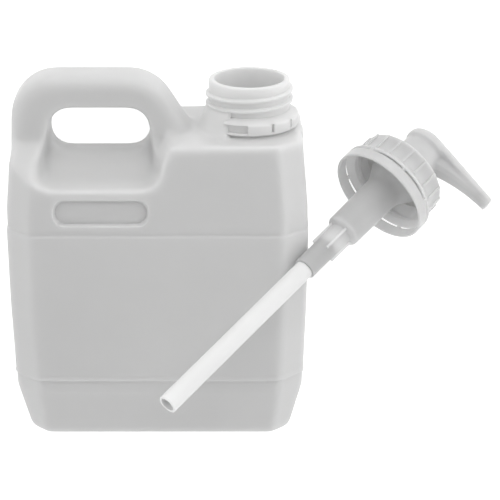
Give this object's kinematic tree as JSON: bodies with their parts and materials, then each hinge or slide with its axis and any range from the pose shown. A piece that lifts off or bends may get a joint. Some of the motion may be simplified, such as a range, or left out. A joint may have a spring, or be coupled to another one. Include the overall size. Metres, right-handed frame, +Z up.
{
  "type": "pump oil bottle",
  "caption": "Flat handled jug with a threaded neck, and its lotion pump unscrewed and leaning on the jug: closure, housing, dip tube, sprung plunger and swivel spout.",
  "frame": {"origin": "centre of the jug's back panel, where it lies on the table", "axes": "+Y runs up the jug from its base to its neck, +X runs from the handle's side to the neck's side, +Z points up from the table through the jug's front"},
  "size_m": [0.2095, 0.1577, 0.123],
  "materials": {
    "jug_plastic": "natural white blow-moulded polyethylene, slightly translucent, satin",
    "pump_plastic": "white injection-moulded polypropylene, half gloss",
    "housing_plastic": "natural polypropylene, half gloss",
    "seal_plastic": "soft natural polyethylene seal",
    "gasket": "pale foamed seal ring",
    "tube_plastic": "clear-white extruded tube, gloss",
    "spring_steel": "drawn stainless wire",
    "ball_steel": "ground stainless ball"
  },
  "bodies": {
    "bottle": {"bottle_shell": "jug_plastic"},
    "head": {"actuator_head": "pump_plastic", "stem": "pump_plastic"},
    "plunger": {"piston_rod": "housing_plastic", "piston": "seal_plastic"},
    "housing": {"pump_housing": "housing_plastic", "dip_tube": "tube_plastic", "neck_gasket": "gasket", "lock_collar": "pump_plastic", "return_spring": "spring_steel"},
    "closure": {"closure_cap": "pump_plastic"},
    "inlet_valve": {"inlet_ball": "ball_steel"},
    "outlet_valve": {"outlet_ball": "ball_steel"}
  },
  "joints": [
    {"name": "pump_lift", "type": "slide", "parent": "bottle", "child": "head", "axis": [0, 0, 1], "range_m": [0, 0.2]},
    {"name": "head_swivel", "type": "hinge", "parent": "head", "child": "plunger", "pos_m": [0.09468, 0.04081, 0.03098], "axis": [0.6419, 0.4195, -0.6419], "continuous": true},
    {"name": "pump_stroke", "type": "slide", "parent": "plunger", "child": "housing", "axis": [-0.6419, -0.4195, 0.6419], "range_m": [0, 0.0137], "deforming": ["return_spring"]},
    {"name": "closure_spin", "type": "hinge", "parent": "housing", "child": "closure", "pos_m": [0.09468, 0.04081, 0.03098], "axis": [0.6419, 0.4195, -0.6419], "continuous": true},
    {"name": "inlet_ball_seat", "type": "slide", "parent": "housing", "child": "inlet_valve", "axis": [-0.6419, -0.4195, 0.6419], "range_m": [0, 0.0014]},
    {"name": "outlet_ball_seat", "type": "slide", "parent": "head", "child": "outlet_valve", "axis": [-0.6419, -0.4195, 0.6419], "range_m": [0, 0.0014]}
  ]
}
